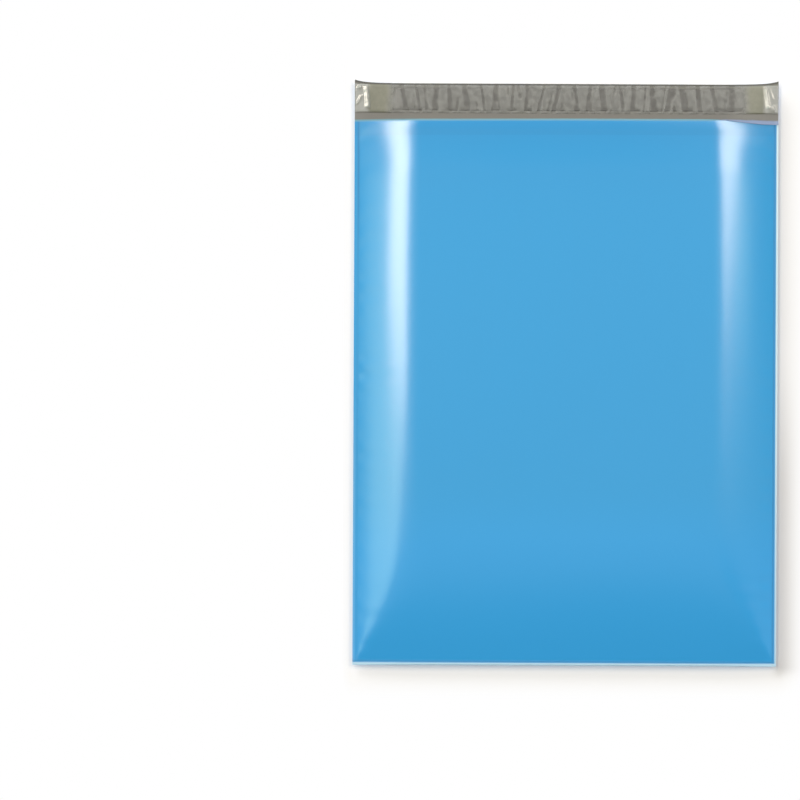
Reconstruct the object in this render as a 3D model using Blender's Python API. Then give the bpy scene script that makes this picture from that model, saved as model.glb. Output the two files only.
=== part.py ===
"""Poly mailer bag, open and empty, lying on its back panel.

The bag is one sheet of film. It is folded across at the bottom and welded down both sides, and its back
panel runs on past the mouth as the closure flap. A little air stands in the pouch, so the front panel is
puffed up between the welds. A strip of adhesive lies on the flap, under a crinkled release liner.

X is the width, +Y points from the bottom fold to the flap, and +Z is up, away from the back panel. The
origin is on the floor, below the middle of the outline. Lengths are in metres.
"""
import math

import bmesh
import bpy
import numpy as np

# Film sheet
BAG_WIDTH = 0.305
POUCH_LENGTH = 0.394
FLAP_LENGTH = 0.0254
FILM_THICKNESS = 0.00008
WELD_WIDTH = 0.003
CORNER_FLARE = 0.0025
FLARE_WIDTH = 0.030

# Front panel, puffed up by the air in the pouch
FRONT_HEIGHT = 0.015
SHOULDER_WIDTH = 0.044
SHOULDER_POWER = 1.6
FOOT_LENGTH = 0.086
FOOT_SETBACK = 0.004
HIP_SHARPNESS = 5.0
MOUTH_LENGTH = 0.040
MOUTH_SINK = 0.0015
LIP_LENGTH = 0.009
LIP_SINK = 0.0009
FOLD_HEIGHT = 0.0022
FOLD_DEPTH = 0.0011

# Back panel off the floor
RIM_LIFT = 0.005
RIM_WIDTH = 0.036
CURL_HEIGHT = 0.0022
CURL_WIDTH = 0.024

# Closure strip
ADHESIVE_LENGTH = 0.260
ADHESIVE_WIDTH = 0.0167
ADHESIVE_THICKNESS = 0.0001
ADHESIVE_MIDDLE_X = 0.0047
LINER_WIDTH = 0.0203
LINER_THICKNESS = 0.00006
LINER_INSET = 0.0004
LINER_EDGE_GAP = 0.0011
LAYER_GAP = 0.0003

# Creases of the liner
CREASE_PITCH = 0.0108
CREASE_WIDTH = 0.0034
CREASE_LEAN = 0.0030
PILLOW_HEIGHT = 0.0006
END_LENGTH = 0.0105
END_ARCH = 0.0010
RAMP_LENGTH = 0.006

# Steps of the meshes
CENTRE_STEPS = 5
SHOULDER_STEPS = 9
FOOT_STEPS = 9
LENGTH_STEPS = 4
MOUTH_STEPS = 3
LIP_STEPS = 3
FLAP_STEPS = 4
FOLD_STEPS = 5
LINER_ROWS = 4
END_STEPS = 10
STRIP_STEPS = 30
SEED = 11

# Colours, from the photograph, as linear values
OUTSIDE_BLUE = (0.069, 0.381, 0.708, 1.0)
INSIDE_GREY = (0.223, 0.223, 0.209, 1.0)
ADHESIVE_GREY = (0.16, 0.155, 0.14, 1.0)
LINER_GREY = (0.50, 0.51, 0.49, 1.0)

# Places that follow from the sizes
EDGE_X = BAG_WIDTH / 2
WELD_X = EDGE_X - WELD_WIDTH
SHOULDER_X = WELD_X - SHOULDER_WIDTH
TOTAL_LENGTH = POUCH_LENGTH + FLAP_LENGTH + CORNER_FLARE
BOTTOM_Y = -TOTAL_LENGTH / 2
MOUTH_Y = BOTTOM_Y + POUCH_LENGTH
FLAP_Y = MOUTH_Y + FLAP_LENGTH
LINER_X = EDGE_X - LINER_INSET
LINER_TOP_Y = FLAP_Y - LINER_EDGE_GAP
STRIP_LEFT_X = ADHESIVE_MIDDLE_X - ADHESIVE_LENGTH / 2
STRIP_RIGHT_X = ADHESIVE_MIDDLE_X + ADHESIVE_LENGTH / 2
STRIP_MIDDLE_Y = LINER_TOP_Y - LINER_WIDTH / 2


def clamp(share):
    """The share held between 0 and 1."""
    return min(max(share, 0.0), 1.0)


def ease(share):
    """A smooth step from 0 to 1."""
    share = clamp(share)
    return share * share * (3.0 - 2.0 * share)


def shoulder(share):
    """Profile of a shoulder that rises from a straight edge, 0, and rounds off into the flat, 1."""
    return 1.0 - (1.0 - clamp(share)) ** SHOULDER_POWER


def across(x):
    """How far the front panel has risen between the weld line, 0, and the flat middle, 1."""
    return shoulder((WELD_X - abs(x)) / SHOULDER_WIDTH)


def rise(x, y):
    """How far the front panel has risen from its rim, 0, to the flat middle, 1.

    The slopes up from the weld and from the bottom fold meet in a rounded hip that runs in from the corner.
    """
    side = (WELD_X - abs(x)) / SHOULDER_WIDTH
    foot = (y - BOTTOM_Y - FOOT_SETBACK) / FOOT_LENGTH
    if side <= 0.0 or foot <= 0.0:
        return 0.0
    lower, higher = min(side, foot), max(side, foot)
    return shoulder(lower * (1.0 + (lower / higher) ** HIP_SHARPNESS) ** (-1.0 / HIP_SHARPNESS))


def rim_height(x, y):
    """Height of the back panel's underside, which lies flat in the middle and rises to its welds and fold."""
    side = ease((abs(x) - WELD_X + RIM_WIDTH) / RIM_WIDTH)
    foot = ease(1.0 - (y - BOTTOM_Y) / RIM_WIDTH)
    return RIM_LIFT * (1.0 - (1.0 - side) * (1.0 - foot))


def puff(x, y):
    """Height of the air space between the panels: the front panel's own rise and the back panel's drop."""
    mouth = MOUTH_SINK * ease(1.0 - (MOUTH_Y - y) / MOUTH_LENGTH)
    lip = LIP_SINK * clamp(1.0 - (MOUTH_Y - y) / LIP_LENGTH) ** 2
    front = across(x) * (FOLD_HEIGHT - mouth - lip) + rise(x, y) * (FRONT_HEIGHT - RIM_LIFT - FOLD_HEIGHT)
    return front + RIM_LIFT - rim_height(x, y)


def back_height(x, y):
    """Height of the back panel's and the flap's underside over the floor."""
    corner = ease((abs(x) - EDGE_X + CURL_WIDTH) / CURL_WIDTH) * ease((y - MOUTH_Y) / FLAP_LENGTH)
    return rim_height(x, y) + CURL_HEIGHT * corner


def flap_edge(x):
    """The flap's cut edge, which runs out to a point at both corners."""
    return FLAP_Y + CORNER_FLARE * clamp((abs(x) - EDGE_X + FLARE_WIDTH) / FLARE_WIDTH) ** 5


def steps(start, end, count):
    """Evenly spaced values from start up to, but without, end."""
    return list(np.linspace(start, end, count, endpoint=False))


def film_columns():
    """The film's places across its width: the cut edges, the weld lines and the steps between them."""
    right = steps(0.0, SHOULDER_X, CENTRE_STEPS) + steps(SHOULDER_X, WELD_X, SHOULDER_STEPS) + [WELD_X, EDGE_X]
    return [-x for x in reversed(right[1:])] + right


def pouch_stations(x):
    """The pouch's places along its length, from the start of the fold's curve to the mouth."""
    fold_y = BOTTOM_Y + FILM_THICKNESS + FOLD_DEPTH * across(x)
    foot_y = BOTTOM_Y + FOOT_SETBACK + FOOT_LENGTH
    near_mouth_y = MOUTH_Y - MOUTH_LENGTH
    lip_y = MOUTH_Y - LIP_LENGTH
    foot = steps(fold_y, foot_y, FOOT_STEPS)
    length = steps(foot_y, near_mouth_y, LENGTH_STEPS)
    mouth = steps(near_mouth_y, lip_y, MOUTH_STEPS) + steps(lip_y, MOUTH_Y, LIP_STEPS)
    return foot + length + mouth + [MOUTH_Y]


def flap_stations(x):
    """The flap's places along its length, past the mouth."""
    return list(np.linspace(MOUTH_Y, flap_edge(x), FLAP_STEPS + 1))[1:]


def fold_curve(x, wall):
    """The bottom fold's round at one column, top to underside, a wall's thickness in from the outside."""
    start_y = pouch_stations(x)[0]
    low = back_height(x, start_y) + wall
    height = 2 * FILM_THICKNESS + puff(x, start_y) - 2 * wall
    depth = start_y - BOTTOM_Y - wall
    turns = [math.pi * step / FOLD_STEPS for step in range(1, FOLD_STEPS)]
    return [(x, start_y - depth * math.sin(turn), low + height / 2 * (1 + math.cos(turn))) for turn in turns]


def add_face(mesh, corners, slot):
    """A face through its corners, of which neighbours may be one and the same vertex."""
    distinct = list(dict.fromkeys(corners))
    if len(distinct) > 2:
        mesh.faces.new(distinct).material_index = slot


def add_skin(mesh, grid, slot):
    """Faces over columns of vertices. They point up where the columns run to +X and the rows to +Y."""
    for left, right in zip(grid, grid[1:]):
        for near_left, near_right, far_right, far_left in zip(left, right, right[1:], left[1:]):
            add_face(mesh, (near_left, near_right, far_right, far_left), slot)


def add_object(name, mesh, materials):
    """The finished mesh as a smooth-shaded object with its materials."""
    bmesh.ops.recalc_face_normals(mesh, faces=mesh.faces)
    data = bpy.data.meshes.new(name)
    mesh.to_mesh(data)
    mesh.free()
    data.shade_smooth()
    data.set_sharp_from_angle(angle=math.radians(35))
    for material in materials:
        data.materials.append(material)
    part = bpy.data.objects.new(name, data)
    bpy.context.scene.collection.objects.link(part)
    return part


def add_material(name, colour, roughness):
    """A plain material of plastic film."""
    material = bpy.data.materials.new(name)
    material.use_nodes = True
    shader = material.node_tree.nodes["Principled BSDF"]
    shader.inputs["Base Color"].default_value = colour
    shader.inputs["Roughness"].default_value = roughness
    shader.inputs["Metallic"].default_value = 0.0
    return material


def make_film_bag(outside_slot=0, inside_slot=1):
    """The whole sheet as one body: front panel, bottom fold, back panel and flap, welded at both sides.

    Each column is followed twice. Its outside runs from the mouth's lip back over the front panel, round
    the fold and along the underside to the flap's edge. Its inside runs the same way within the pouch, where
    the front and the back share their vertices on the weld lines, and goes on over the flap.
    """
    mesh = bmesh.new()
    columns = film_columns()
    last = len(columns) - 1
    film = FILM_THICKNESS

    outside, inside, flap_top, front_edge, back_edge = [], [], [], [], []
    for place, x in enumerate(columns):
        pouch = pouch_stations(x)
        whole = pouch + flap_stations(x)
        front = [mesh.verts.new((x, y, back_height(x, y) + 2 * film + puff(x, y))) for y in pouch]
        fold = [mesh.verts.new(point) for point in fold_curve(x, 0.0)]
        back = [mesh.verts.new((x, y, back_height(x, y))) for y in whole]
        outside.append(front[::-1] + fold + back)
        front_edge.append(front)
        back_edge.append(back)

        flap = [mesh.verts.new((x, y, back_height(x, y) + film)) for y in [MOUTH_Y] + flap_stations(x)]
        flap_top.append(flap)
        if place in (0, last):
            continue
        floor = [mesh.verts.new((x, y, back_height(x, y) + film)) for y in pouch[:-1]] + flap[:1]
        if place in (1, last - 1):
            ceiling = floor
            fold = [floor[0]] * (FOLD_STEPS - 1)
        else:
            ceiling = [mesh.verts.new((x, y, back_height(x, y) + film + puff(x, y))) for y in pouch]
            fold = [mesh.verts.new(point) for point in fold_curve(x, film)]
        inside.append(ceiling[::-1] + fold + floor)

    add_skin(mesh, outside, outside_slot)
    add_skin(mesh, inside, inside_slot)
    add_skin(mesh, flap_top, inside_slot)

    lip = [flap_top[0][0]] + [column[0] for column in inside] + [flap_top[last][0]]
    for place in range(last):
        corners = (outside[place][0], outside[place + 1][0], lip[place + 1], lip[place])
        add_face(mesh, corners, outside_slot)
        corners = (outside[place][-1], outside[place + 1][-1], flap_top[place + 1][-1], flap_top[place][-1])
        add_face(mesh, corners, outside_slot)

    for place in (0, last):
        front, back, flap = front_edge[place], back_edge[place], flap_top[place]
        fold = outside[place][len(front):len(front) + FOLD_STEPS - 1]
        mouth = len(front) - 1
        add_face(mesh, [front[0]] + fold + [back[0]], outside_slot)
        for row in range(mouth - 1):
            add_face(mesh, (front[row], front[row + 1], back[row + 1], back[row]), outside_slot)
        corners = (front[mouth - 1], front[mouth], flap[0], back[mouth], back[mouth - 1])
        add_face(mesh, corners, outside_slot)
        for row in range(FLAP_STEPS):
            corners = (flap[row], flap[row + 1], back[mouth + row + 1], back[mouth + row])
            add_face(mesh, corners, outside_slot)

    materials = [add_material("film_outside", OUTSIDE_BLUE, 0.25), add_material("film_inside", INSIDE_GREY, 0.45)]
    return add_object("film_bag", mesh, materials)


def add_layer(mesh, columns, thickness):
    """A closed thin layer: columns of points are its underside, and its top is a thickness higher."""
    low = [[mesh.verts.new(point) for point in column] for column in columns]
    high = [[mesh.verts.new((x, y, z + thickness)) for x, y, z in column] for column in columns]
    add_skin(mesh, high, 0)
    add_skin(mesh, [column[::-1] for column in low], 0)
    for lower, upper in ((low[0], high[0]), (low[-1], high[-1])):
        add_skin(mesh, [lower, upper], 0)
    for row in (0, -1):
        add_skin(mesh, [[lower[row], upper[row]] for lower, upper in zip(low, high)], 0)


def flap_surface(x, y):
    """Height of the flap's upper face."""
    return back_height(x, y) + FILM_THICKNESS


def make_adhesive_strip():
    """The band of hot-melt adhesive, which follows the flap."""
    mesh = bmesh.new()
    rows = (STRIP_MIDDLE_Y - ADHESIVE_WIDTH / 2, STRIP_MIDDLE_Y, STRIP_MIDDLE_Y + ADHESIVE_WIDTH / 2)
    places = np.linspace(STRIP_LEFT_X, STRIP_RIGHT_X, STRIP_STEPS + 1)
    columns = [[(x, y, flap_surface(x, y) + LAYER_GAP) for y in rows] for x in places]
    add_layer(mesh, columns, ADHESIVE_THICKNESS)
    return add_object("adhesive_strip", mesh, [add_material("adhesive", ADHESIVE_GREY, 0.3)])


def liner_columns():
    """The liner's places along its length, each with its lean and the height that it stands off there.

    Over the adhesive the liner stands in low pillows between creases, which run across at an uneven pitch.
    Past the adhesive it runs smooth.
    """
    chance = np.random.default_rng(SEED)
    count = max(int(round(ADHESIVE_LENGTH / CREASE_PITCH)), 1)
    pitch = ADHESIVE_LENGTH / count
    places = [(x, 0.0, 0.0) for x in steps(-LINER_X, STRIP_LEFT_X, END_STEPS)]
    for crease in range(count):
        width = min(CREASE_WIDTH, pitch / 2) * chance.uniform(0.7, 1.2)
        middle = STRIP_LEFT_X + pitch * (crease + 0.5) + chance.uniform(-0.2, 0.2) * pitch
        lean = min(CREASE_LEAN, pitch / 4) * chance.uniform(-1.0, 1.0)
        near, far = PILLOW_HEIGHT * chance.uniform(0.6, 1.0, 2)
        places += [(middle - width / 2, lean, near), (middle, lean, 0.0), (middle + width / 2, lean, far)]
    return places + [(x, 0.0, 0.0) for x in reversed(steps(LINER_X, STRIP_RIGHT_X, END_STEPS))]


def liner_height(x, y):
    """Height of the smooth liner's underside: over the adhesive, lower past it, and arched at the ends."""
    past = max(STRIP_LEFT_X - x, x - STRIP_RIGHT_X) / RAMP_LENGTH
    over_adhesive = (ADHESIVE_THICKNESS + LAYER_GAP) * (1.0 - ease(past))
    arch = END_ARCH * math.sin(math.pi * clamp((LINER_X - abs(x)) / END_LENGTH)) ** 2
    return flap_surface(x, y) + LAYER_GAP + over_adhesive + arch


def make_release_liner():
    """The release liner, a thin ribbon from edge to edge of the bag, creased across over the adhesive."""
    mesh = bmesh.new()
    columns = []
    for place, lean, height in liner_columns():
        column = []
        for share in np.linspace(0.0, 1.0, LINER_ROWS + 1):
            x = place + lean * (share - 0.5)
            y = LINER_TOP_Y - LINER_WIDTH * (1.0 - share)
            column.append((x, y, liner_height(x, y) + height * (1.0 - 0.4 * share)))
        columns.append(column)
    add_layer(mesh, columns, LINER_THICKNESS)
    return add_object("release_liner", mesh, [add_material("liner_film", LINER_GREY, 0.3)])


def main():
    for item in list(bpy.data.objects):
        bpy.data.objects.remove(item, do_unlink=True)
    make_film_bag()
    make_adhesive_strip()
    make_release_liner()


main()
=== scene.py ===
"""The looks of a poly mailer bag: glossy film, closure strip and crinkled liner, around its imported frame.

X is the bag's width, +Y points to the flap and +Z up. The bag lies on its back panel. Lengths are in metres.
"""
import math

import bpy
import numpy as np
from bpy.props import FloatProperty, FloatVectorProperty, IntProperty, PointerProperty
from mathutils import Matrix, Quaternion, Vector


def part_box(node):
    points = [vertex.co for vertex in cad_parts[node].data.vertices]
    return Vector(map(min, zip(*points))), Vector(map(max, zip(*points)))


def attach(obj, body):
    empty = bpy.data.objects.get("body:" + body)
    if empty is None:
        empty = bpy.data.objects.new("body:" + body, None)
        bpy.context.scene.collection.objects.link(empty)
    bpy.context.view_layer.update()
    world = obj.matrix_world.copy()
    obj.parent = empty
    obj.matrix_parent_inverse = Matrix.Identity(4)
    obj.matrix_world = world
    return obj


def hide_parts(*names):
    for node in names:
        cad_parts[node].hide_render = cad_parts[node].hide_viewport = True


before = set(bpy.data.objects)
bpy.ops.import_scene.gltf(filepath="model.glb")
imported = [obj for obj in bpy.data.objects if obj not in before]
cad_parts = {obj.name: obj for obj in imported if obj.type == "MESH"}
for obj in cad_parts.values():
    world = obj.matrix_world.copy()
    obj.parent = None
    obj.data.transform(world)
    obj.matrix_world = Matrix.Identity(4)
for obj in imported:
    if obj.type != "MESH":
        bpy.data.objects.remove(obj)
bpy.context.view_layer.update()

bl_info = {
    "name": "Poly mailer bag",
    "version": (1, 0, 0),
    "blender": (4, 5, 0),
    "location": "3D View > Sidebar > Mailer",
    "description": "Builds an open poly mailer bag with its closure strip, and a studio around it",
    "category": "Add Mesh",
}

BAG_LOW, BAG_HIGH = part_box("film_bag")
STRIP_LOW, STRIP_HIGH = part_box("adhesive_strip")
LINER_LOW, LINER_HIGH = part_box("release_liner")


def length(name, description, default):
    """A property for a length in metres."""
    return FloatProperty(
        name=name, description=description, default=default, unit="LENGTH", subtype="DISTANCE",
    )


def number(name, description, default):
    """A property for a plain number."""
    return FloatProperty(name=name, description=description, default=default)


def colour(name, description, default):
    """A property for a linear colour."""
    return FloatVectorProperty(name=name, description=description, default=default, subtype="COLOR", size=3)


class MailerFilmSettings(bpy.types.PropertyGroup):
    """Sizes of the folded and welded film sheet."""

    width: length("Width", "Across the side welds", BAG_HIGH.x - BAG_LOW.x)
    pouch: length("Pouch length", "From the bottom fold to the mouth", 0.394)
    flap: length("Flap length", "Back panel past the mouth, at its middle", 0.0254)
    film: length("Film", "Thickness of the film", 0.00008)
    weld: length("Weld", "Width of each side weld", 0.003)
    flare: length("Corner flare", "How far the flap's corners run out past its middle", 0.0020)
    front: length("Front height", "Height of the front panel's flat middle", 0.015)
    roundness: number("Roundness", "Power of the shoulder's profile", 1.6)
    shoulder: length("Shoulder", "Width of the rounded side of the front panel", 0.044)
    foot: length("Foot", "Length of the slope down to the bottom fold", 0.086)
    foot_setback: length("Foot setback", "Flat strip between the fold and the foot of that slope", 0.004)
    fold_height: length("Fold height", "Height of the film's turn at the bottom fold", 0.0022)
    fold_depth: length("Fold depth", "Depth of the film's turn at the bottom fold", 0.0011)
    rim_lift: length("Rim lift", "How far the welds and the fold stand off the floor", 0.005)
    rim_width: length("Rim width", "Width of the back panel that rises to its rim", 0.036)
    curl: length("Corner curl", "How far the flap's corners stand up", 0.0010)
    hip: number("Hip", "Sharpness of the corners' hips", 5.0)
    waves: length("Waves", "Height of the slack film's slow waves", 0.00022)
    puckers: length("Puckers", "Height of the puckers beside the welds", 0.00020)


class MailerClosureSettings(bpy.types.PropertyGroup):
    """Sizes of the adhesive and of the liner over it."""

    adhesive: length("Adhesive thickness", "Thickness of the hot-melt band", 0.00012)
    liner: length("Liner thickness", "Thickness of the liner", 0.00005)
    loft: length("Loft", "How far the liner stands off the adhesive between its creases", 0.00055)
    pitch: length("Crease pitch", "Mean distance from crease to crease", 0.0112)
    crease: length("Crease width", "Width of a crease", 0.0040)
    lean: number("Lean", "Most that a crease leans, along by across", 0.46)
    seed: IntProperty(name="Seed", description="Seed of the creases", default=4)


class MailerColourSettings(bpy.types.PropertyGroup):
    """Colours of the bag, as linear values."""

    blue: colour("Blue", "Outside of the film", (0.0385, 0.367, 0.745))
    # Painted shade on the outside of the film: along the welds, along the crease above the bottom fold and
    # towards the mouth
    shaded_blue: colour("Deep blue", "Outside of the film at its welds", (0.030, 0.235, 0.520))
    grey: colour("Grey", "Inside of the film", (0.160, 0.160, 0.150))
    olive: colour("Olive", "Warmer clouds on the inside of the film", (0.225, 0.232, 0.182))
    brown: colour("Brown", "Inside of the film next to the mouth", (0.198, 0.196, 0.184))
    # Painted reflection on the inside of the film where the lip is rolled out
    rolled: colour("Rolled lip", "Inside of the film where the lip is rolled out", (0.24, 0.31, 0.47))
    # Painted highlight along the right edge, the bottom fold and, faintly, the left edge's lower half
    rim: colour("Rim", "Stretched film along the right edge and the bottom fold", (0.70, 0.92, 0.97))
    cut: colour("Cut edge", "Stretched film along its cut edges", (0.160, 0.355, 0.43))
    glue: colour("Adhesive", "Adhesive seen through the liner", (0.095, 0.094, 0.090))
    liner: colour("Liner", "Haze of the liner", (0.41, 0.42, 0.40))
    tip: colour("Liner tip", "Haze of the liner's loose tips", (0.43, 0.44, 0.41))


class MailerStudioSettings(bpy.types.PropertyGroup):
    """Camera and lights. A lamp's strength is the radiance of its face."""

    distance: length("Distance", "From the camera to the floor", 2.6)
    pixel: length("Pixel", "Width of one picture pixel on the bag", 0.0007215)
    side_x: length("Aside", "Camera beside the bag's middle", -0.1190)
    side_y: length("Ahead", "Camera ahead of the bag's middle", -0.0201)
    roll: FloatProperty(name="Roll", description="Turn of the camera", default=0.0045, subtype="ANGLE")
    key: number("Key", "Strength of the left strip", 11.0)
    tail: number("Tail", "Strength of the panel below the left strip", 2.3)
    wing: number("Wing", "Strength of the panels outside the strips", 1.7)
    rim: number("Rim", "Strength of the right strip", 8.6)
    low: number("Low", "Strength of the low softbox beyond the flap", 6.4)
    fill: number("Fill", "Strength of the low softbox on the right", 5.5)
    sky: number("Sky", "Strength of the sky overhead", 0.42)
    side_sky: number("Side sky", "Strength of the sky away from overhead", 0.06)
    horizon: number("Horizon", "Strength of the sky low down", 0.6)
    warm: colour("Warm", "Colour of the strips", (1.0, 0.90, 0.76))
    glow: colour("Glow", "Colour of the panels beside the strips", (0.68, 1.0, 0.74))
    cool: colour("Cool", "Colour of the sky and the low softboxes", (0.985, 1.022, 1.130))


PICTURE_WIDTH = 800
SENSOR_WIDTH = 36.0
FLOOR_DROP = 0.0002
TINY = 1e-6
# The film's masks: painted shade along the welds and the fold's crease, a painted highlight along the edges,
# the lip's cut edge, painted shade along the flap's cut edge, the inside's browner tone by the mouth, a
# painted reflection on the rolled lip and painted shade towards the mouth
MASKS = ("seam", "rim", "lip", "hem", "mouth_side", "rolled", "shade")
LAMP_HEIGHT = 2.8
FLOOR_REACH = 15.0
CREASE_ANGLE = math.radians(13.0)
# Painted light: how much lighter the blue gets down the slope to the bottom fold
FOOT_PAINTED_LIGHT = (1.0, 1.03, 1.07)

# The mouth's edge: its slope down from the front panel, its offset from the mouth and its drop at the left
# end, then the lip that is rolled out at the right end
MOUTH_LENGTH = 0.040
MOUTH_SINK = 0.0015
LIP_LENGTH = 0.009
LIP_SINK = 0.0009
LIP_REACH = -0.0005
LIP_DROP = 0.0009
LIP_ZONE = 0.012
ROLL_WIDTH = 0.0034
ROLL_START = 0.100
ROLL_LENGTH = 0.045
ROLL_LIFT = 0.0007

# The flap's corners, the painted shade along the side welds and the fold's crease, and the painted highlights
# along the edges
CURL_WIDTH = 0.024
FLARE_WIDTH = 0.030
SEAM_WIDTH = 0.0012
SEAM_SHIFT = 0.0006
FOLD_CREASE = 0.0030
PALE_RIGHT = 0.0015
PALE_LEFT = 0.0017
PALE_FOLD = 0.0025
FOLD_PALENESS = 0.70

# The slack film's waves and the flap's ripple
WAVE_SEED = 21
SINE_SPREAD = 2.4
PUCKER_START = 0.006
PUCKER_FADE = 0.008
FLAP_RIPPLE = 0.00025

# The adhesive band's uneven edges and its gap over the film
BAND_SEED = 8
BAND_EDGE = 0.0008
BAND_GAP = 0.00003

# The liner's grid, its gap over the adhesive, its crumple and how much shorter than the band its creases are
LINER_COLUMNS = 620
LINER_ROWS = 30
LINER_GAP = 0.00008
CRUMPLE = 0.00022
CREASE_TRIM = 0.007

# Folds of the liner's loose ends: which end, -1 or 1, the line's lower and upper points, each as a distance
# from that end and a share of the width, then the fold's height and the widths of its left and right flanks
END_FOLDS = (
    (-1, (0.0098, 0.16), (0.0086, 0.92), 0.00100, 0.0032, 0.0014),
    (-1, (0.0034, 0.84), (0.0038, 0.93), 0.00085, 0.0026, 0.0014),
    (-1, (0.0016, 0.30), (0.0044, 0.60), 0.00050, 0.0018, 0.0014),
    (1, (0.0056, 0.18), (0.0082, 0.92), 0.00047, 0.0029, 0.0011),
    (1, (0.0034, 0.52), (0.0068, 0.92), 0.00028, 0.0020, 0.0012),
    (1, (0.0024, 0.08), (0.0028, 0.26), 0.00096, 0.0048, 0.0012),
)


class Wire:
    """A socket in an expression. An operator between wires and numbers adds the Math node it stands for."""

    def __init__(self, tree, socket):
        self.tree = tree
        self.socket = socket

    def output(self, name):
        """Another output of the same node."""
        return Wire(self.tree, self.socket.node.outputs[name])

    def math(self, operation, *values):
        return self.tree.math(operation, *values)

    def __add__(self, other):
        return self.math("ADD", self, other)

    def __radd__(self, other):
        return self.math("ADD", other, self)

    def __sub__(self, other):
        return self.math("SUBTRACT", self, other)

    def __rsub__(self, other):
        return self.math("SUBTRACT", other, self)

    def __mul__(self, other):
        return self.math("MULTIPLY", self, other)

    def __rmul__(self, other):
        return self.math("MULTIPLY", other, self)

    def __truediv__(self, other):
        return self.math("DIVIDE", self, other)

    def __pow__(self, other):
        return self.math("POWER", self, other)

    def __neg__(self):
        return self.math("MULTIPLY", self, -1.0)

    def __abs__(self):
        return self.math("ABSOLUTE", self)

    def floor(self):
        return self.math("FLOOR", self)


class Tree:
    """A node tree, for a material, the world or a Geometry Nodes modifier."""

    def __init__(self, tree):
        self.tree = tree

    def add(self, kind, settings=None, sockets=None, output=0):
        """A node of this type, with its settings and the values or links of its sockets, and one output."""
        node = self.tree.nodes.new(kind)
        for name, value in (settings or {}).items():
            setattr(node, name, value)
        for key, value in (sockets or {}).items():
            if isinstance(value, Wire):
                self.tree.links.new(value.socket, node.inputs[key])
            else:
                node.inputs[key].default_value = value
        return Wire(self, node.outputs[output]) if node.outputs else node

    def math(self, operation, *values):
        return self.add("ShaderNodeMath", {"operation": operation}, dict(enumerate(values)))

    def ease(self, value, start, end):
        """0 before start, 1 after end, and a smooth step between them."""
        settings = {"interpolation_type": "SMOOTHSTEP"}
        return self.add("ShaderNodeMapRange", settings, {"Value": value, "From Min": start, "From Max": end})

    def ramp(self, value, start, end):
        """0 before start, 1 after end, and a straight line between them."""
        return self.add("ShaderNodeMapRange", None, {"Value": value, "From Min": start, "From Max": end})

    def blend(self, factor, first, second):
        """A colour between two others."""
        colours = [(*c, 1.0) if isinstance(c, (tuple, list)) else c for c in (first, second)]
        sockets = {0: factor, 6: colours[0], 7: colours[1]}
        return self.add("ShaderNodeMix", {"data_type": "RGBA"}, sockets, output=2)

    def axes(self, vector):
        """The three numbers of a vector."""
        split = self.add("ShaderNodeSeparateXYZ", None, {0: vector})
        return split, split.output("Y"), split.output("Z")

    def vector(self, x=0.0, y=0.0, z=0.0):
        return self.add("ShaderNodeCombineXYZ", None, {"X": x, "Y": y, "Z": z})

    def place(self):
        """The point on the piece, in metres."""
        return self.add("ShaderNodeTexCoord", output="Object")

    def noise(self, vector, scale, detail=2.0, roughness=0.5):
        sockets = {"Vector": vector, "Scale": scale, "Detail": detail, "Roughness": roughness}
        return self.add("ShaderNodeTexNoise", None, sockets)

    def stretched(self, x, y, z):
        """The point on the piece, with each axis scaled."""
        return self.add("ShaderNodeMapping", None, {"Vector": self.place(), "Scale": (x, y, z)})

    def attribute(self, name):
        return self.add("ShaderNodeAttribute", {"attribute_name": name}, output="Fac")

    def bump(self, height, distance):
        return self.add("ShaderNodeBump", None, {"Height": height, "Distance": distance})


def new_finish(name):
    """A material with an empty tree."""
    material = bpy.data.materials.new(name)
    material.use_nodes = True
    material.node_tree.nodes.clear()
    return material, Tree(material.node_tree)


def finish_surface(tree, sockets):
    """Ends a material's tree in a Principled BSDF."""
    shader = tree.add("ShaderNodeBsdfPrincipled", None, sockets)
    tree.add("ShaderNodeOutputMaterial", None, {"Surface": shader})


def scaled(tint, share):
    """A colour made lighter or darker."""
    return tuple(channel * share for channel in tint)


def outside_finish(colours):
    """Glossy blue film with the streaks of its extrusion and matt at the lip, with painted shade at the welds
    and towards the mouth, a painted highlight along its edges and painted light down to the bottom fold.
    """
    material, tree = new_finish("glossy_blue_film")
    clouds = tree.noise(tree.place(), 14.0, 3.0)
    streaks = tree.noise(tree.stretched(420.0, 9.0, 60.0), 1.0, 2.0)
    film = tree.blend(clouds * 0.28 + streaks * 0.10, tuple(colours.blue), scaled(colours.blue, 0.93))
    _, along, _ = tree.axes(tree.place())
    # Painted light: the blue is made lighter down the slope to the bottom fold
    painted_foot_light = tuple(channel * share for channel, share in zip(colours.blue, FOOT_PAINTED_LIGHT))
    film = tree.blend(tree.ease(along, -0.075, -0.14), film, painted_foot_light)
    # Painted shade that deepens towards the mouth
    film = tree.blend(tree.attribute("shade") * 0.4, film, tuple(colours.shaded_blue))
    # Painted shade along the welds and the fold's crease
    film = tree.blend(tree.attribute("seam") * 0.85, film, tuple(colours.shaded_blue))
    # Painted highlight along the right edge and the bottom fold
    film = tree.blend(tree.attribute("rim"), film, tuple(colours.rim))
    lip = tree.attribute("lip")
    film = tree.blend(lip, film, tuple(colours.cut))
    slow = tree.noise(tree.stretched(70.0, 55.0, 70.0), 1.0, 1.5)
    relief = slow * 0.7 + streaks * 0.06
    finish_surface(tree, {
        "Base Color": film,
        "Roughness": 0.19 + 0.05 * clouds + 0.5 * lip,
        "Coat Weight": 1.0 - lip,
        "Coat Roughness": 0.16,
        "Normal": tree.bump(relief, 0.00004),
    })
    return material


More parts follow.
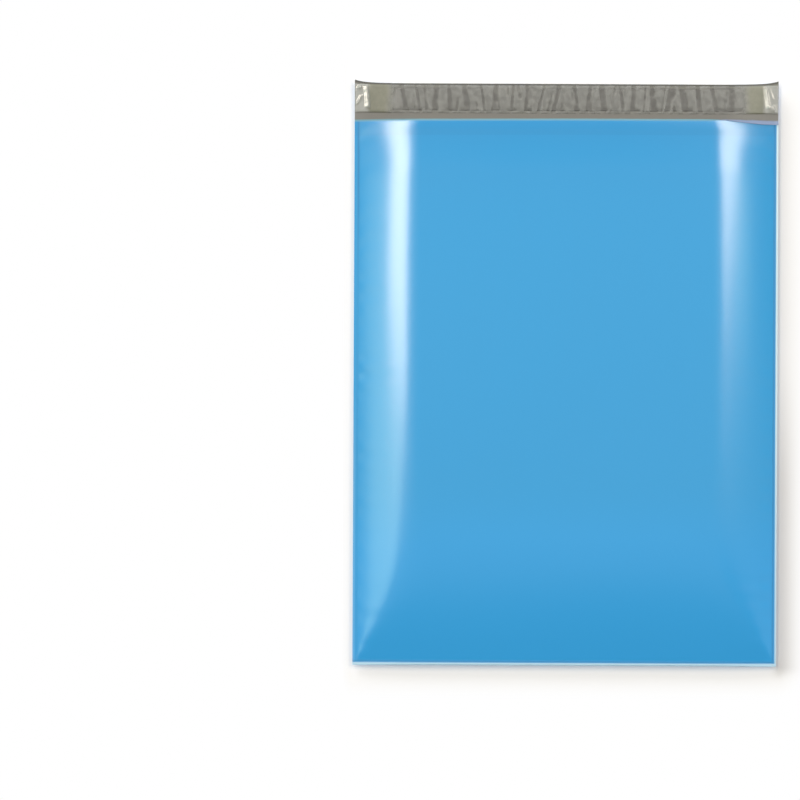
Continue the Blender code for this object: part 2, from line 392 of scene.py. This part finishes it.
def inside_finish(colours):
    """Silver grey film, satin, with warmer clouds and browner next to the mouth, with a painted reflection
    where the lip is rolled out and painted shade at the flap's cut edge.
    """
    material, tree = new_finish("satin_grey_film")
    clouds = tree.ease(tree.noise(tree.place(), 22.0, 3.0), 0.38, 0.66)
    film = tree.blend(clouds * 0.6, tuple(colours.grey), tuple(colours.olive))
    film = tree.blend(tree.attribute("mouth_side"), film, tuple(colours.brown))
    # Painted reflection on the inside where the lip is rolled out
    film = tree.blend(tree.attribute("rolled"), film, tuple(colours.rolled))
    # Painted shade along the flap's cut edge
    film = tree.blend(tree.attribute("hem") * 0.8, film, scaled(colours.grey, 0.45))
    streaks = tree.noise(tree.stretched(300.0, 12.0, 40.0), 1.0, 2.0)
    finish_surface(tree, {
        "Base Color": film,
        "Roughness": 0.42 + 0.08 * streaks,
        "Normal": tree.bump(streaks, 0.00003),
    })
    return material


def cut_finish(colours):
    """The film's own cut face."""
    material, tree = new_finish("cut_film")
    mottle = tree.noise(tree.place(), 300.0, 2.0)
    film = tree.blend(mottle * 0.3, tuple(colours.cut), scaled(colours.cut, 0.8))
    finish_surface(tree, {"Base Color": film, "Roughness": 0.35 + 0.1 * mottle})
    return material


def glue_finish(colours):
    """Clear-ish hot melt with the drag lines of its die."""
    material, tree = new_finish("hot_melt")
    drag = tree.noise(tree.stretched(12.0, 700.0, 60.0), 1.0, 3.0)
    mottle = tree.noise(tree.place(), 180.0, 3.0)
    glue = tree.blend(mottle, tuple(colours.glue), scaled(colours.glue, 1.25))
    finish_surface(tree, {
        "Base Color": glue,
        "Roughness": 0.28 + 0.12 * mottle,
        "Normal": tree.bump(drag, 0.00006),
    })
    return material


def liner_finish(colours):
    """Thin hazy film: clear where a crease wets the adhesive, milky over air, glossy at its loose tips."""
    material, tree = new_finish("hazy_liner")
    contact = tree.attribute("contact")
    loose = tree.attribute("loose_end")
    tip = tree.attribute("tip")
    mottle = tree.ease(tree.noise(tree.place(), 260.0, 3.0), 0.25, 0.75)
    haze = tree.blend(mottle, scaled(colours.liner, 0.9), scaled(colours.liner, 1.1))
    haze = tree.blend(loose, haze, tuple(colours.olive))
    haze = tree.blend(tip, haze, tuple(colours.tip))
    finish_surface(tree, {
        "Base Color": haze,
        "Roughness": 0.34 - 0.22 * tip + 0.08 * mottle,
        "Coat Weight": tip,
        "Coat Roughness": 0.08,
        "Alpha": 0.28 + 0.12 * mottle - 0.24 * contact + 0.58 * loose,
        "Normal": tree.bump(mottle, 0.00002),
    })
    return material


def ease(share):
    """A smooth step from 0 to 1, for arrays."""
    share = np.clip(share, 0.0, 1.0)
    return share * share * (3.0 - 2.0 * share)


def stretch(start, *legs):
    """Places from start on, along legs that each give an end and the step to take there."""
    places = [start]
    for end, step in legs:
        count = max(int(round(abs(end - places[-1]) / step)), 1)
        places += list(np.linspace(places[-1], end, count + 1))[1:]
    return np.array(places)


class BagForm:
    """The resting form of the film sheet: heights and outlines as functions of the place on the bag."""

    def __init__(self, size):
        self.size = size
        self.edge = size.width / 2
        self.weld = self.edge - size.weld
        self.shoulder = self.weld - size.shoulder
        self.bottom = BAG_LOW.y
        self.mouth = self.bottom + size.pouch
        chance = np.random.default_rng(WAVE_SEED)
        self.wave_turns = chance.uniform(0.0, 2 * math.pi, (6, 2))
        self.wave_counts = chance.uniform(9.0, 34.0, (6, 2)) * chance.choice([-1.0, 1.0], (6, 2))
        self.pucker_counts = chance.uniform(260.0, 620.0, 5)
        self.pucker_turns = chance.uniform(0.0, 2 * math.pi, 5)

    def profile(self, share):
        """A shoulder that rises from a straight edge, 0, and rounds off into the flat, 1."""
        return 1.0 - (1.0 - np.clip(share, 0.0, 1.0)) ** self.size.roundness

    def across(self, x):
        """Rise of the front panel from the weld line, 0, to its flat middle, 1."""
        return self.profile((self.weld - abs(x)) / self.size.shoulder)

    def rise(self, x, y):
        """Rise of the front panel from its rim, 0, to its flat middle, 1, with hips towards the corners."""
        side = np.maximum((self.weld - abs(x)) / self.size.shoulder, TINY)
        foot = np.maximum((y - self.bottom - self.size.foot_setback) / self.size.foot, TINY)
        lower, higher = np.minimum(side, foot), np.maximum(side, foot)
        return self.profile(lower * (1.0 + (lower / higher) ** self.size.hip) ** (-1.0 / self.size.hip))

    def rim(self, x, y):
        """Height of the back panel, which lies flat in the middle and rises to its welds and fold."""
        side = ease((abs(x) - self.weld + self.size.rim_width) / self.size.rim_width)
        foot = ease(1.0 - (y - self.bottom) / self.size.rim_width)
        return self.size.rim_lift * (1.0 - (1.0 - side) * (1.0 - foot))

    def waves(self, x, y):
        """Slow waves of the slack film, about -1 to 1."""
        total = 0.0
        for (turn_x, turn_y), (count_x, count_y) in zip(self.wave_turns, self.wave_counts):
            total = total + np.sin(count_x * x + turn_x) * np.sin(count_y * y + turn_y)
        return total / SINE_SPREAD

    def puckers(self, x, y):
        """Short puckers that run in from the side welds, about -1 to 1."""
        inside = self.weld - abs(x)
        fade = ease(inside / PUCKER_START) * np.exp(-np.maximum(inside, 0.0) / PUCKER_FADE)
        total = 0.0
        for count, turn in zip(self.pucker_counts, self.pucker_turns):
            total = total + np.sin(count * y + turn * np.sign(x) + turn)
        return fade * total / SINE_SPREAD

    def puff(self, x, y):
        """Height of the air space between the panels."""
        size = self.size
        mouth = MOUTH_SINK * ease(1.0 - (self.mouth - y) / MOUTH_LENGTH)
        lip = LIP_SINK * np.clip(1.0 - (self.mouth - y) / LIP_LENGTH, 0.0, 1.0) ** 2
        front = self.across(x) * (size.fold_height - mouth - lip)
        front = front + self.rise(x, y) * (size.front - size.rim_lift - size.fold_height)
        slack = size.waves * (self.waves(x, y) - 1.0) * self.rise(x, y) + size.puckers * self.puckers(x, y)
        return np.maximum(front + size.rim_lift - self.rim(x, y) + slack, 0.0)

    def back(self, x, y):
        """Height of the back panel's underside over the floor."""
        return self.rim(x, y) + self.corner_curl(x, y)

    def corner_curl(self, x, y):
        """How far the flap's corners stand up."""
        side = ease((abs(x) - self.edge + CURL_WIDTH) / CURL_WIDTH)
        return self.size.curl * side * ease((y - self.mouth) / self.size.flap)

    def flap_edge(self, x):
        """The flap's cut edge, which runs out at both corners."""
        share = np.clip((abs(x) - self.edge + FLARE_WIDTH) / FLARE_WIDTH, 0.0, 1.0)
        return self.mouth + self.size.flap + self.size.flare * share ** 5

    def roll(self, x):
        """Width of the front panel's lip that is rolled outward, at the right corner."""
        return ROLL_WIDTH * ease((x - ROLL_START) / ROLL_LENGTH)


def column_places(form):
    """Places across the sheet, closer on the rounded sides and the welds."""
    right = stretch(0.0, (form.shoulder, 0.0032), (form.weld - 0.0025, 0.0017), (form.edge, 0.0005))
    return np.concatenate((-right[:0:-1], right))


def sheet_points(form):
    """The sheet's outer face as a grid, from the front panel's lip round the fold to the flap's edge.

    Returns the points and the masks that the film's finishes read, all with a row for each station.
    """
    size = form.size
    x = column_places(form)
    none = 0 * x
    start = form.bottom + size.film + size.fold_depth * form.across(x)
    lip_reach = form.mouth + LIP_REACH
    lip_y = lip_reach - LIP_DROP * np.clip(-x / form.edge, 0.0, 1.0)
    rows, masks = [], []

    def add_row(y, z, **shares):
        rows.append(np.stack((x, y + none, z), axis=1))
        masks.append([shares.get(name, 0.0) + none for name in MASKS])

    def front(y):
        return form.back(x, y) + 2 * size.film + form.puff(x, y)

    def seam(y):
        """Share of the painted shade along the welds, which fades down the left one."""
        line = np.clip(1.0 - abs(abs(x) - form.weld - SEAM_SHIFT * (x > 0)) / SEAM_WIDTH, 0.0, 1.0)
        return line * np.where(x > 0, 1.0, 0.25 + 0.75 * ease((y - 0.05) / 0.12))

    def painted_highlight(y):
        """Share of the painted highlight: the right edge, the bottom fold and, faintly, the left edge's lower
        half.
        """
        right = ease((x - form.edge + PALE_RIGHT) / 0.0008) * (0.72 + 0.28 * ease((y - form.bottom) / 0.25))
        left = ease((-x - form.edge + PALE_LEFT) / 0.0006) * (1.0 - ease((y + 0.08) / 0.08)) * 0.13
        return np.maximum(right + left, FOLD_PALENESS * ease((form.bottom + PALE_FOLD - y) / 0.0008))

    roll = form.roll(x)
    for share in np.linspace(0.0, 1.0, 22)[:-1]:
        along = share * (LIP_ZONE + roll)
        turned = np.clip(1.0 - along / np.maximum(roll, TINY), 0.0, 1.0)
        station = lip_y - abs(along - roll)
        height = front(station) + ROLL_LIFT * turned ** 0.7 * ease(roll / 0.0015)
        # Along the lip: painted shade on the outside in full, and a painted reflection on the inside where
        # the lip is rolled out
        add_row(station, height, seam=seam(station), rim=painted_highlight(station), lip=ease((0.0018 - along) / 0.0012),
                rolled=ease(turned * 3.0) * ease(roll / 0.0008), shade=1.0)

    foot = form.bottom + size.foot_setback + size.foot
    front_y = stretch(lip_reach - LIP_ZONE, (form.mouth - MOUTH_LENGTH, 0.002), (foot, 0.0034),
                      (form.bottom + 0.004, 0.0022), (form.bottom, 0.0006))
    for y in front_y:
        share = (y - form.bottom) / (lip_reach - form.bottom)
        station = start + share * (lip_y - start)
        # Painted shade along the crease above the bottom fold
        crease = np.clip(1.0 - abs(station - form.bottom - FOLD_CREASE) / SEAM_WIDTH, 0.0, 1.0)
        # Painted shade on the front panel deepens towards the mouth
        add_row(station, front(station), seam=np.maximum(seam(station), crease), rim=painted_highlight(station),
                shade=np.exp((station - form.mouth) / 0.030))

    thick = 2 * size.film + form.puff(x, start)
    for turn in np.linspace(0.0, math.pi, 20)[1:-1]:
        y = start - (start - form.bottom) * math.sin(turn)
        z = form.back(x, start) + thick / 2 * (1 + math.cos(turn))
        # The fold's outer turn takes the painted highlight
        add_row(y, z, rim=FOLD_PALENESS * ease(2.6 - turn))

    back_y = stretch(form.bottom, (form.bottom + size.rim_width, 0.003), (form.mouth - MOUTH_LENGTH, 0.009),
                     (form.mouth, 0.004))
    for y in back_y:
        share = (y - form.bottom) / size.pouch
        station = start + share * (form.mouth - start)
        near_mouth = ease(1.0 - (form.mouth - y) / 0.03)
        add_row(station, form.back(x, station), seam=seam(station), mouth_side=near_mouth)
    for share in stretch(0.0, (0.93, 0.045), (1.0, 0.014))[1:]:
        station = form.mouth + share * (form.flap_edge(x) - form.mouth)
        ripple = FLAP_RIPPLE * share * np.sin(70.0 * x + 1.3) * np.sin(31.0 * x)
        height = form.back(x, station) + np.maximum(ripple, 0.0)
        # The flap's last few millimetres take the painted shade of its cut edge
        add_row(station, height, hem=ease((share - 0.925) / 0.04), mouth_side=1.0 - ease(share / 0.42))
    return np.array(rows), np.array(masks)


def grid_mesh(name, points):
    """A mesh over a grid of points, which faces the way that columns by rows turn."""
    count_rows, count_columns = points.shape[:2]
    index = np.arange(count_rows * count_columns).reshape(count_rows, count_columns)
    corners = (index[:-1, :-1], index[:-1, 1:], index[1:, 1:], index[1:, :-1])
    faces = np.stack([corner.ravel() for corner in corners], axis=1)
    mesh = bpy.data.meshes.new(name)
    mesh.from_pydata(points.reshape(-1, 3).tolist(), [], faces.tolist())
    mesh.shade_smooth()
    return mesh


def add_piece(name, mesh, materials):
    """A piece of the bag in the scene."""
    for material in materials:
        mesh.materials.append(material)
    piece = bpy.data.objects.new(name, mesh)
    bpy.context.scene.collection.objects.link(piece)
    return piece


def settle(piece):
    """Turns a piece and its modifiers into a plain mesh."""
    graph = bpy.context.evaluated_depsgraph_get()
    mesh = bpy.data.meshes.new_from_object(piece.evaluated_get(graph))
    piece.modifiers.clear()
    piece.data = mesh
    piece.data.shade_smooth()


def join_frame(piece, node):
    """Says what a piece rides on and hides the part that it stands for."""
    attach(piece, "root")
    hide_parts(node)


class MAILER_OT_film_sheet(bpy.types.Operator):
    """Build the bag's film: front panel, bottom fold, back panel and flap in one sheet"""

    bl_idname = "mailer.film_sheet"
    bl_label = "Film sheet"

    def execute(self, context):
        scene = context.scene
        colours = scene.mailer_colours
        form = BagForm(scene.mailer_film)
        points, masks = sheet_points(form)
        mesh = grid_mesh("film_sheet", points[:, ::-1])
        for order, name in enumerate(MASKS):
            layer = mesh.attributes.new(name, "FLOAT", "POINT")
            layer.data.foreach_set("value", masks[:, order, ::-1].ravel())
        finishes = [outside_finish(colours), inside_finish(colours), cut_finish(colours)]
        piece = add_piece("film_sheet", mesh, finishes)
        wall = piece.modifiers.new("film", "SOLIDIFY")
        wall.thickness = scene.mailer_film.film
        wall.offset = -1.0
        wall.material_offset = 1
        wall.material_offset_rim = 2
        settle(piece)
        piece.data.set_sharp_from_angle(angle=CREASE_ANGLE)
        join_frame(piece, "film_bag")
        return {"FINISHED"}


def strip_surface(form, x, y):
    """Height of the flap's upper face."""
    return form.back(x, y) + form.size.film


class MAILER_OT_adhesive_band(bpy.types.Operator):
    """Build the band of hot-melt adhesive on the flap"""

    bl_idname = "mailer.adhesive_band"
    bl_label = "Adhesive band"

    def execute(self, context):
        scene = context.scene
        form = BagForm(scene.mailer_film)
        thick = scene.mailer_closure.adhesive
        x = stretch(STRIP_LOW.x, (STRIP_HIGH.x, 0.0013))
        chance = np.random.default_rng(BAND_SEED)
        ragged = np.convolve(chance.uniform(-1.0, 1.0, len(x) + 8), np.ones(9) / 9, "valid") * BAND_EDGE
        rows = []
        for share in np.linspace(0.0, 1.0, 17):
            y = STRIP_LOW.y + (STRIP_HIGH.y - STRIP_LOW.y) * share + ragged * (2 * share - 1)
            bead = thick * (0.35 + 0.65 * math.sin(math.pi * share) ** 0.4)
            rows.append(np.stack((x, y, strip_surface(form, x, y) + BAND_GAP + bead), axis=1))
        mesh = grid_mesh("adhesive_band", np.array(rows))
        piece = add_piece("adhesive_band", mesh, [glue_finish(scene.mailer_colours)])
        wall = piece.modifiers.new("bead", "SOLIDIFY")
        wall.thickness = thick * 0.3
        wall.offset = -1.0
        settle(piece)
        join_frame(piece, "adhesive_strip")
        return {"FINISHED"}


def liner_tree(form, closure, material):
    """Geometry Nodes that make the liner: a ribbon that lies over the flap, creased at an uneven pitch."""
    group = bpy.data.node_groups.new("creased_liner", "GeometryNodeTree")
    sizes = {
        "Length": LINER_HIGH.x - LINER_LOW.x,
        "Width": LINER_HIGH.y - LINER_LOW.y,
        "Middle": (LINER_HIGH.y + LINER_LOW.y) / 2,
        "Creased Length": STRIP_HIGH.x - STRIP_LOW.x - CREASE_TRIM,
        "Creased Middle": (STRIP_HIGH.x + STRIP_LOW.x - CREASE_TRIM) / 2,
        "Crease Pitch": closure.pitch,
        "Crease Width": closure.crease,
        "Lean": closure.lean,
        "Loft": closure.loft,
        "Base Height": form.size.film + closure.adhesive + LINER_GAP,
        "Rim Lift": form.size.rim_lift,
        "Rim Width": form.size.rim_width,
        "Weld": form.weld,
        "Corner Curl": form.size.curl,
        "Seed": float(closure.seed),
    }
    group.interface.new_socket("Geometry", in_out="OUTPUT", socket_type="NodeSocketGeometry")
    for name, value in sizes.items():
        socket = group.interface.new_socket(name, in_out="INPUT", socket_type="NodeSocketFloat")
        socket.default_value = value
    tree = Tree(group)
    given = tree.add("NodeGroupInput")
    size = {name: given.output(name) for name in sizes}

    ribbon = tree.add("GeometryNodeMeshGrid", None, {
        "Size X": size["Length"],
        "Size Y": size["Width"],
        "Vertices X": LINER_COLUMNS,
        "Vertices Y": LINER_ROWS,
    })
    along, over, _ = tree.axes(tree.add("GeometryNodeInputPosition"))
    share = over / size["Width"] + 0.5
    half = size["Length"] * 0.5

    def line_noise(offset, scale, detail=2.0):
        where = tree.vector(along, over, size["Seed"] + offset)
        return tree.add("ShaderNodeTexNoise", None, {"Vector": where, "Scale": scale, "Detail": detail}) - 0.5

    def crease_set(offset, pitch_share, width_share):
        """Creases across the ribbon, one for each cell along it, each with its own place, lean and width."""
        wobble = line_noise(offset + 3.1, 95.0) * 0.12
        place = along / (size["Crease Pitch"] * pitch_share) + offset
        cell = place.floor()
        roll = tree.add("ShaderNodeTexWhiteNoise", {"noise_dimensions": "2D"},
                        {"Vector": tree.vector(cell, size["Seed"] + offset)}, output="Color")
        first, second, third = tree.axes(roll)
        lean = (second - 0.5) * size["Lean"] * size["Width"] / (size["Crease Pitch"] * pitch_share)
        centre = 0.5 + (first - 0.5) * 0.36 + lean * (share - 0.5) + wobble
        away = abs(place - cell - centre) * size["Crease Pitch"] * pitch_share
        reach = size["Crease Width"] * width_share * (0.28 + 0.5 * third)
        reach = reach * (1.0 + line_noise(offset + 5.3, 140.0))
        return 1.0 - tree.ease(away, reach * 0.25, reach)

    main = crease_set(0.0, 1.0, 1.0)
    fine = crease_set(17.0, 0.67, 0.70) * tree.ease(line_noise(9.0, 60.0), -0.04, 0.08)
    low_band = (1.0 - tree.ease(share, 0.10, 0.26)) * tree.ease(share, 0.02, 0.10)
    pressed = low_band * tree.ease(line_noise(31.0, 105.0, 1.0), -0.05, 0.05)
    top_band = tree.ease(share, 0.80, 0.90) * (1.0 - tree.ease(share, 0.92, 0.98))
    pressed = pressed + top_band * 0.6 * tree.ease(line_noise(37.0, 90.0, 1.0), 0.0, 0.08)
    past = abs(along - size["Creased Middle"]) - size["Creased Length"] * 0.5
    over_glue = 1.0 - tree.ease(past, -0.002, 0.002)
    contact = tree.add("ShaderNodeClamp", None, {"Value": main + fine * 0.8 + pressed * 0.8}) * over_glue

    corner = tree.ease(abs(along), half - CURL_WIDTH, half)
    past_mouth = tree.ease(over + size["Middle"], form.mouth, form.mouth + form.size.flap)
    flap_rise = size["Corner Curl"] * corner * past_mouth
    edge = tree.ease(abs(along), size["Weld"] - size["Rim Width"], size["Weld"])
    flap_rise = flap_rise + size["Rim Lift"] * edge
    from_end = half - abs(along)
    pillow = size["Loft"] * (1.0 - contact) * (0.35 + 0.65 * over_glue)
    pillow = pillow * tree.ease(share, 0.0, 0.07) * tree.ease(1.0 - share, 0.0, 0.07)
    loose = tree.ease(past + line_noise(57.0, 60.0) * 0.006, -0.002, 0.006)
    tip = 1.0 - tree.ease(from_end + line_noise(61.0, 90.0) * 0.003, 0.0080, 0.0115)
    crumple = line_noise(71.0, 160.0, 3.0) * (1.0 - 0.6 * tip) * CRUMPLE
    height = size["Base Height"] + flap_rise + pillow + crumple
    for end, low, high, rise, left, right in END_FOLDS:
        line = half * end - end * (low[0] + (share - low[1]) * ((high[0] - low[0]) / (high[1] - low[1])))
        away = along - line + line_noise(51.0, 90.0) * 0.0012
        flanks = tree.ramp(away, -left, 0.0) * (1.0 - tree.ramp(away, 0.0, right))
        window = tree.ease(share, low[1] - 0.07, low[1] + 0.05)
        window = window * (1.0 - tree.ease(share, high[1] - 0.03, high[1] + 0.06))
        height = height + flanks * window * rise

    for name, mask in (("contact", contact), ("loose_end", loose), ("tip", tip)):
        ribbon = tree.add("GeometryNodeStoreNamedAttribute", {"data_type": "FLOAT", "domain": "POINT"},
                          {"Geometry": ribbon, "Name": name, "Value": mask})
    lifted = tree.add("GeometryNodeSetPosition", None, {
        "Geometry": ribbon,
        "Position": tree.vector(along, over + size["Middle"], height),
    })
    real = tree.add("GeometryNodeRealizeInstances", None, {"Geometry": lifted})
    shown = tree.add("GeometryNodeSetMaterial", None, {"Geometry": real, "Material": material})
    tree.add("NodeGroupOutput", None, {"Geometry": shown})
    return group, sizes


class MAILER_OT_release_liner(bpy.types.Operator):
    """Build the crinkled release liner over the adhesive"""

    bl_idname = "mailer.release_liner"
    bl_label = "Release liner"

    def execute(self, context):
        scene = context.scene
        closure = scene.mailer_closure
        form = BagForm(scene.mailer_film)
        material = liner_finish(scene.mailer_colours)
        group, sizes = liner_tree(form, closure, material)
        piece = add_piece("liner_ribbon", bpy.data.meshes.new("liner_ribbon"), [material])
        creases = piece.modifiers.new("creases", "NODES")
        creases.node_group = group
        for item in group.interface.items_tree:
            if item.in_out == "INPUT":
                creases[item.identifier] = sizes[item.name]
        wall = piece.modifiers.new("film", "SOLIDIFY")
        wall.thickness = closure.liner
        wall.offset = 1.0
        settle(piece)
        join_frame(piece, "release_liner")
        return {"FINISHED"}


def add_lamp(name, tint, strength, width, depth, place, aim, turn=0.0):
    """A rectangular lamp at a place, turned to its aim, with its depth along Y before a turn about Z."""
    lamp = bpy.data.lights.new(name, "AREA")
    lamp.shape = "RECTANGLE"
    lamp.size = width
    lamp.size_y = depth
    lamp.energy = strength * math.pi * width * depth
    lamp.color = tint
    item = bpy.data.objects.new(name, lamp)
    item.location = place
    item.rotation_mode = "QUATERNION"
    facing = (Vector(aim) - Vector(place)).to_track_quat("-Z", "Y")
    item.rotation_quaternion = Quaternion((0.0, 0.0, 1.0), turn) @ facing
    bpy.context.scene.collection.objects.link(item)


def floor_finish():
    """Pale matt floor, greyer to the bag's right with a painted shadow, which turns plain white away from the
    bag's shadow.
    """
    material, tree = new_finish("pale_floor")
    x, y, _ = tree.axes(tree.place())
    right = x - BAG_HIGH.x
    beside = tree.math("MAXIMUM", tree.math("MAXIMUM", right, 3.0 * (BAG_LOW.x - x)), 0.0)
    ahead = tree.math("MAXIMUM", abs(y) - BAG_HIGH.y, 0.0)
    distance = (beside * beside + ahead * ahead) ** 0.5
    # Painted shadow: the grey right of the bag deepens towards the bottom fold and ends with the bag
    painted_shadow = tree.ease(right, -0.004, 0.005) * (1.0 - tree.ease(distance, 0.0, 0.028))
    painted_shadow = painted_shadow * (0.42 + 0.50 * tree.ease(-y, -0.02, 0.09))
    painted_shadow = painted_shadow * tree.ease(y, BAG_LOW.y - 0.012, BAG_LOW.y)
    painted_shadow = painted_shadow * (1.0 - tree.ease(y, BAG_HIGH.y - 0.030, BAG_HIGH.y + 0.004))
    away = 0.30 - 0.20 * painted_shadow + 0.70 * tree.ease(distance, 0.006, 0.024)
    grain = tree.noise(tree.place(), 40.0)
    paper = tree.blend(grain, (0.985, 0.985, 0.985), (0.975, 0.975, 0.975))
    # The painted shadow's grey
    paper = tree.blend(painted_shadow, paper, (0.61, 0.60, 0.60))
    matt = tree.add("ShaderNodeBsdfDiffuse", None, {"Color": paper})
    plain = tree.add("ShaderNodeEmission", None, {"Color": (1.0, 1.0, 1.0, 1.0), "Strength": 1.0})
    both = tree.add("ShaderNodeMixShader", None, {0: away, 1: matt, 2: plain})
    tree.add("ShaderNodeOutputMaterial", None, {"Surface": both})
    return material


class MAILER_OT_studio(bpy.types.Operator):
    """Set up the floor, the sky, the lamps and the camera"""

    bl_idname = "mailer.studio"
    bl_label = "Studio"

    def execute(self, context):
        scene = context.scene
        studio = scene.mailer_studio
        self.add_floor()
        self.add_sky(scene, studio)
        self.add_lamps(studio)
        self.add_camera(scene, studio)
        scene.view_settings.view_transform = "Standard"
        return {"FINISHED"}

    def add_floor(self):
        ends = (-FLOOR_REACH, FLOOR_REACH)
        corners = np.array([[(x, y, -FLOOR_DROP) for x in ends] for y in ends])
        floor = add_piece("floor", grid_mesh("floor", corners), [floor_finish()])

    def add_sky(self, scene, studio):
        """A sky that is brightest overhead and dims on all sides; the camera sees plain white."""
        world = bpy.data.worlds.new("studio_sky")
        world.use_nodes = True
        world.node_tree.nodes.clear()
        tree = Tree(world.node_tree)
        aside, ahead, up = tree.axes(tree.add("ShaderNodeTexCoord", output="Generated"))
        fore_and_aft = tree.math("MAXIMUM", tree.ease(ahead, 0.09, 0.22), tree.ease(-ahead, 0.165, 0.262))
        right = tree.ease(aside, 0.58, 0.74) * tree.ease(ahead, -0.05, 0.03)
        dim = tree.math("MAXIMUM", fore_and_aft, tree.math("MAXIMUM", right, tree.ease(-aside, 0.58, 0.74)))
        card = tree.ease(aside, 0.20, 0.30) * (1.0 - tree.ease(aside, 0.50, 0.62))
        dim = tree.math("MAXIMUM", dim, card * tree.ease(-ahead, 0.05, 0.12))
        low = tree.ease(up, 0.36, 0.05)
        strength = studio.sky + dim * (studio.side_sky - studio.sky)
        strength = strength + low * (studio.horizon - strength)
        lit = tree.add("ShaderNodeBackground", None, {"Color": (*studio.cool, 1.0), "Strength": strength})
        plain = tree.add("ShaderNodeBackground", None, {"Color": (1.0, 1.0, 1.0, 1.0), "Strength": 1.0})
        seen = tree.add("ShaderNodeLightPath", output="Is Camera Ray")
        both = tree.add("ShaderNodeMixShader", None, {0: seen, 1: lit, 2: plain})
        tree.add("ShaderNodeOutputWorld", None, {"Surface": both})
        scene.world = world

    def add_lamps(self, studio):
        """Lamps overhead face straight down; a low one faces the bag.

        Each overhead is the X of its near end's middle, its width, its near and far Y, and its slant, X by Y.
        """
        warm, glow, cool = tuple(studio.warm), tuple(studio.glow), tuple(studio.cool)
        for name, tint, strength, (middle, width, near, far, slant) in (
            ("key_strip", warm, studio.key, (-1.225, 0.64, 0.03, 2.20, 0.19)),
            ("key_tail", glow, studio.tail, (-1.60, 1.10, -0.52, 0.03, 0.0)),
            ("wing_panel", glow, studio.wing, (-1.91, 0.70, 0.03, 0.38, 0.0)),
            ("rim_strip", warm, studio.rim, (1.43, 0.72, 0.20, 2.00, -0.36)),
            ("rim_panel", glow, studio.wing, (1.80, 0.60, 0.12, 0.40, 0.0)),
        ):
            depth = far - near
            place = (middle + slant * depth / 2, (near + far) / 2, LAMP_HEIGHT)
            add_lamp(name, tint, strength, width, depth, place, (place[0], place[1], 0.0), -math.atan(slant))
        add_lamp("low_softbox", cool, studio.low, 3.2, 3.2, (-2.60, 4.85, 2.44), (0.0, 0.0, 0.0))
        add_lamp("right_softbox", cool, studio.fill, 2.4, 1.6, (5.2, -0.6, 1.8), (0.0, 0.0, 0.0))

    def add_camera(self, scene, studio):
        lens = bpy.data.cameras.new("camera")
        lens.sensor_width = SENSOR_WIDTH
        lens.lens = SENSOR_WIDTH * studio.distance / (PICTURE_WIDTH * studio.pixel)
        camera = bpy.data.objects.new("camera", lens)
        middle_x = (BAG_LOW.x + BAG_HIGH.x) / 2
        middle_y = (BAG_LOW.y + BAG_HIGH.y) / 2
        camera.location = (middle_x + studio.side_x, middle_y + studio.side_y, studio.distance)
        camera.rotation_euler = (0.0, 0.0, studio.roll)
        scene.collection.objects.link(camera)
        scene.camera = camera


class MAILER_PT_panel(bpy.types.Panel):
    """The steps of the bag, in the 3D view's sidebar"""

    bl_idname = "MAILER_PT_panel"
    bl_label = "Poly mailer bag"
    bl_space_type = "VIEW_3D"
    bl_region_type = "UI"
    bl_category = "Mailer"

    def draw(self, context):
        for step in STEPS:
            self.layout.operator(step.bl_idname)
        for group in ("mailer_film", "mailer_closure", "mailer_colours", "mailer_studio"):
            settings = getattr(context.scene, group)
            box = self.layout.box()
            for name in settings.bl_rna.properties.keys():
                if name not in ("rna_type", "name"):
                    box.prop(settings, name)


STEPS = (MAILER_OT_film_sheet, MAILER_OT_adhesive_band, MAILER_OT_release_liner, MAILER_OT_studio)
SETTINGS = {
    "mailer_film": MailerFilmSettings,
    "mailer_closure": MailerClosureSettings,
    "mailer_colours": MailerColourSettings,
    "mailer_studio": MailerStudioSettings,
}


def register():
    for item in (*SETTINGS.values(), *STEPS, MAILER_PT_panel):
        bpy.utils.register_class(item)
    for name, settings in SETTINGS.items():
        setattr(bpy.types.Scene, name, PointerProperty(type=settings))


def unregister():
    for name in SETTINGS:
        delattr(bpy.types.Scene, name)
    for item in reversed((*SETTINGS.values(), *STEPS, MAILER_PT_panel)):
        bpy.utils.unregister_class(item)


def main():
    register()
    bpy.ops.mailer.film_sheet()
    bpy.ops.mailer.adhesive_band()
    bpy.ops.mailer.release_liner()
    bpy.ops.mailer.studio()
    bpy.context.view_layer.update()


if __name__ == "__main__":
    main()
